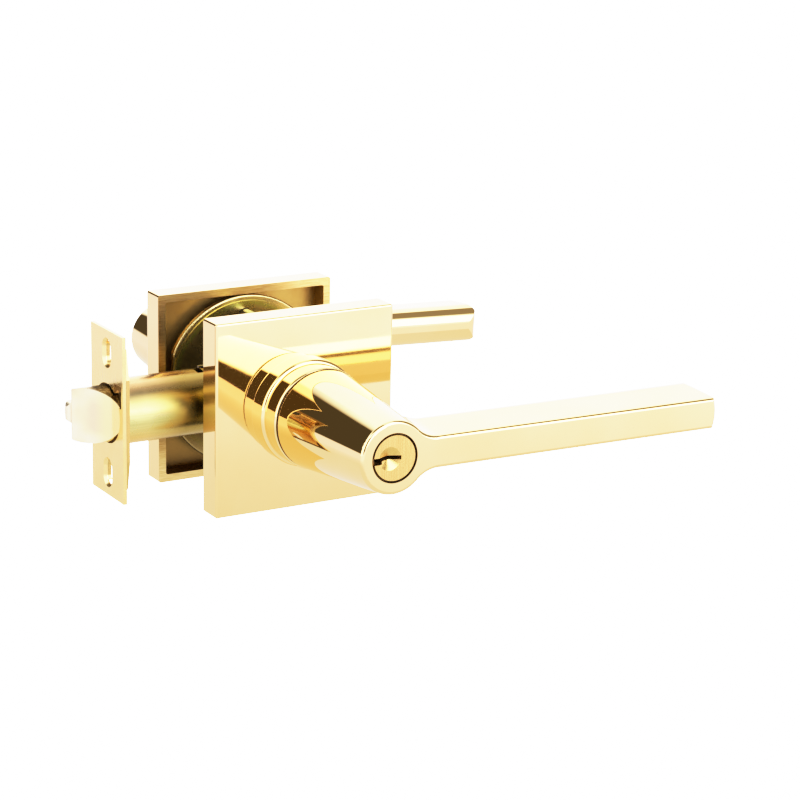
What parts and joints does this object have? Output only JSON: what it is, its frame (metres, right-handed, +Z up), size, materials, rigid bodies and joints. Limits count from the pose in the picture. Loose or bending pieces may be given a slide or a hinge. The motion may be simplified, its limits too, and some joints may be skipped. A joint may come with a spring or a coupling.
{
  "type": "lever handle lockset",
  "caption": "Keyed-entry tubular lever lockset in polished brass: square roses, stepped round collars, tapered lever hubs with flat arms, and a spring latch with a slotted faceplate.",
  "frame": {"origin": "crossing of the spindle axis and the latch axis, at the middle of the door's thickness", "axes": "+Y along the spindle from the keyed side to the inside, +Z up, latchbolt towards -X, levers towards +X"},
  "size_m": [0.1985, 0.1775, 0.0666],
  "materials": {
    "polished_brass": "mirror polished and lacquered",
    "plated_latch_brass": "bright plated, pale",
    "satin_brass": "satin machined",
    "yellow_zinc_steel": "yellow zinc plated, iridescent",
    "bright_steel": "zinc plated",
    "spring_steel": "oiled wire"
  },
  "bodies": {
    "lock_frame": {"outside_rose": "polished_brass", "inside_rose": "polished_brass", "outside_rose_screw": "bright_steel", "inside_rose_screw": "bright_steel", "outside_collar": "polished_brass", "inside_collar": "polished_brass", "outside_mounting_plate": "yellow_zinc_steel", "inside_mounting_plate": "yellow_zinc_steel", "outside_spring_cage": "yellow_zinc_steel", "inside_spring_cage": "yellow_zinc_steel", "mounting_posts": "yellow_zinc_steel", "through_bolts": "bright_steel", "latch_faceplate": "plated_latch_brass", "latch_backplate": "plated_latch_brass", "latch_tube": "yellow_zinc_steel", "bolt_guide_bush": "yellow_zinc_steel", "latch_end_plate": "yellow_zinc_steel", "latch_case_outside_plate": "bright_steel", "latch_case_inside_plate": "bright_steel", "latch_case_rivets": "bright_steel", "outside_return_spring": "spring_steel", "inside_return_spring": "spring_steel", "bolt_spring": "spring_steel"},
    "outside_lever_set": {"outside_lever": "polished_brass", "outside_lever_shank": "bright_steel", "outside_shank_circlip": "bright_steel", "outside_lever_catch": "bright_steel", "cylinder_body": "satin_brass", "pin_chamber_cover": "satin_brass", "driver_pins": "satin_brass", "pin_springs": "spring_steel", "spindle": "bright_steel", "latch_cam": "bright_steel"},
    "inside_lever_set": {"inside_lever": "polished_brass", "inside_lever_shank": "bright_steel", "inside_shank_circlip": "bright_steel", "inside_lever_screw": "bright_steel", "button_sleeve": "satin_brass"},
    "plug_set": {"key_plug": "satin_brass", "key_pins": "satin_brass", "plug_clip": "bright_steel", "lock_rod": "bright_steel"},
    "button_set": {"turn_button": "satin_brass", "button_clip": "bright_steel"},
    "bolt_set": {"latchbolt": "plated_latch_brass", "bolt_bar": "bright_steel", "fork_pin": "bright_steel", "bolt_pin": "bright_steel"},
    "plunger_set": {"deadlatch_plunger": "plated_latch_brass", "plunger_spring": "spring_steel"}
  },
  "joints": [
    {"name": "outside_lever_turn", "type": "hinge", "parent": "lock_frame", "child": "outside_lever_set", "pos_m": [0, 0, 0], "axis": [0, 1, 0], "range_deg": [0, 45], "stiffness_Nm_per_rad": 0.8, "springref_deg": -28.65, "deforming": ["outside_return_spring"]},
    {"name": "inside_lever_turn", "type": "hinge", "parent": "lock_frame", "child": "inside_lever_set", "pos_m": [0, 0, 0], "axis": [0, 1, 0], "range_deg": [0, 45], "stiffness_Nm_per_rad": 0.8, "springref_deg": -28.65, "deforming": ["inside_return_spring"]},
    {"name": "key_plug_turn", "type": "hinge", "parent": "outside_lever_set", "child": "plug_set", "pos_m": [0, 0, 0], "axis": [0, 1, 0], "range_deg": [0, 90]},
    {"name": "turn_button_turn", "type": "hinge", "parent": "inside_lever_set", "child": "button_set", "pos_m": [0, 0, 0], "axis": [0, 1, 0], "range_deg": [0, 90]},
    {"name": "latchbolt_slide", "type": "slide", "parent": "lock_frame", "child": "bolt_set", "axis": [1, 0, 0], "range_m": [0, 0.0114], "stiffness_N_per_m": 300, "springref_m": -0.006, "deforming": ["bolt_spring"]},
    {"name": "plunger_slide", "type": "slide", "parent": "bolt_set", "child": "plunger_set", "axis": [1, 0, 0], "range_m": [0, 0.0105], "stiffness_N_per_m": 120, "springref_m": -0.006, "deforming": ["plunger_spring"]}
  ],
  "couplings": [
    {"joint": "inside_lever_turn", "follows": "outside_lever_turn", "ratio": 1},
    {"joint": "latchbolt_slide", "follows": "outside_lever_turn", "m_per_rad": 0.014515},
    {"joint": "turn_button_turn", "follows": "key_plug_turn", "ratio": 1}
  ]
}
